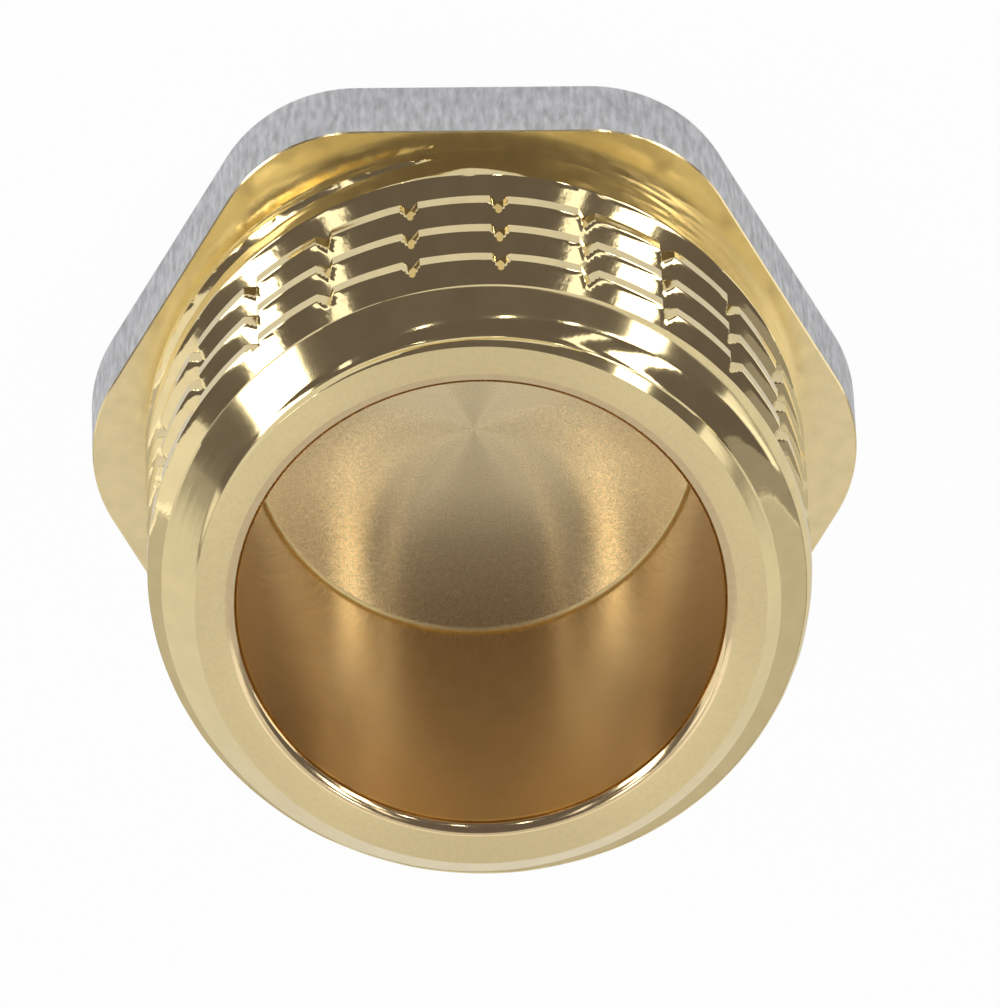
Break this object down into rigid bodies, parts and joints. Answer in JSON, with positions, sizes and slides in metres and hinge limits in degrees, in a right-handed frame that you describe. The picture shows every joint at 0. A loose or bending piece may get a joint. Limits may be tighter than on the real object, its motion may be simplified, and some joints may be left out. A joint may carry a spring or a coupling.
{
  "type": "threaded pipe plug",
  "caption": "Hollow brass pipe plug with a hexagon head, a turned sealing shoulder and a male parallel pipe thread with notched crests.",
  "frame": {"origin": "middle of the head's back face", "axes": "+Z along the thread axis, from the head to the open mouth; two flats of the hexagon face -Y and +Y"},
  "size_m": [0.0152, 0.014, 0.0094],
  "materials": {
    "brass": "satin"
  },
  "bodies": {
    "root": {"plug_body": "brass"}
  },
  "joints": []
}
